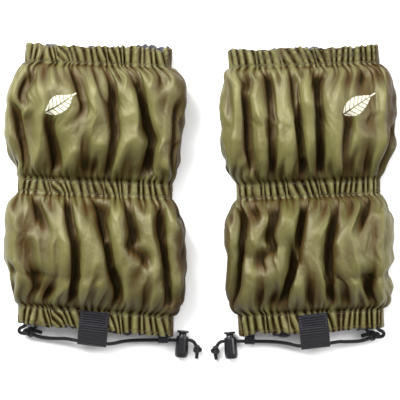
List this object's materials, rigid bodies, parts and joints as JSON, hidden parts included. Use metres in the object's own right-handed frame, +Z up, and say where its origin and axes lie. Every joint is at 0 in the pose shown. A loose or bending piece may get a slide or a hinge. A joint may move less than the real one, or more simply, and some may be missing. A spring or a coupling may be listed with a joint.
{
  "type": "pair of short hiking gaiters",
  "caption": "Short gathered nylon hiking gaiters lying flat, with elastic bands, a webbing keeper, and an elastic boot cord with a spring cord lock on each.",
  "frame": {"origin": "on the surface the pair lies on, under the middle of the two gaiters' box, cords left out", "axes": "+Z up, out of the fronts of the gaiters; +Y from the foot ends to the knee ends; +X across the pair, from the left gaiter to the right one"},
  "size_m": [0.3356, 0.2704, 0.046],
  "materials": {
    "nylon": "semi-gloss coated plain-weave nylon, olive",
    "lining": "dull dark grey coated inside face and binding",
    "band_elastic": "woven flat elastic, off-white",
    "webbing": "matt black ribbed webbing",
    "cord": "black braided elastic cord",
    "lock_plastic": "black moulded acetal, slightly glossy",
    "spring_steel": "drawn spring wire"
  },
  "bodies": {
    "left_gaiter": {"left_sleeve": "nylon", "left_top_elastic": "band_elastic", "left_mid_elastic": "band_elastic", "left_bottom_elastic": "band_elastic", "left_mid_casing": "lining", "left_seam_tape_lower": "lining", "left_seam_tape_upper": "lining", "left_front_keeper": "webbing", "left_side_loop": "webbing", "left_anchor_loop": "webbing", "left_shock_cord": "cord", "left_anchor_knot": "cord", "left_end_knot": "cord"},
    "left_cord_lock": {"left_lock_barrel": "lock_plastic", "left_lock_spring": "spring_steel"},
    "left_lock_button": {"left_lock_plunger": "lock_plastic"},
    "right_gaiter": {"right_sleeve": "nylon", "right_top_elastic": "band_elastic", "right_mid_elastic": "band_elastic", "right_bottom_elastic": "band_elastic", "right_mid_casing": "lining", "right_seam_tape_lower": "lining", "right_seam_tape_upper": "lining", "right_front_keeper": "webbing", "right_side_loop": "webbing", "right_anchor_loop": "webbing", "right_shock_cord": "cord", "right_anchor_knot": "cord", "right_end_knot": "cord"},
    "right_cord_lock": {"right_lock_barrel": "lock_plastic", "right_lock_spring": "spring_steel"},
    "right_lock_button": {"right_lock_plunger": "lock_plastic"}
  },
  "joints": [
    {"name": "left_cord_lock_slide", "type": "slide", "parent": "left_gaiter", "child": "left_cord_lock", "axis": [1, 0, 0], "range_m": [-0.003, 0.0005]},
    {"name": "left_button_press", "type": "slide", "parent": "left_cord_lock", "child": "left_lock_button", "axis": [-0.0785, -0.9969, 0], "range_m": [0, 0.0028], "stiffness_N_per_m": 1200, "springref_m": -0.002, "deforming": ["left_lock_spring"]},
    {"name": "right_cord_lock_slide", "type": "slide", "parent": "right_gaiter", "child": "right_cord_lock", "axis": [-1, 0, 0], "range_m": [-0.003, 0.0005]},
    {"name": "right_button_press", "type": "slide", "parent": "right_cord_lock", "child": "right_lock_button", "axis": [0.0785, -0.9969, 0], "range_m": [0, 0.0028], "stiffness_N_per_m": 1200, "springref_m": -0.002, "deforming": ["right_lock_spring"]},
    {"name": "pair_spacing", "type": "slide", "parent": "left_gaiter", "child": "right_gaiter", "axis": [1, 0, 0], "range_m": [0, 0.1]}
  ]
}
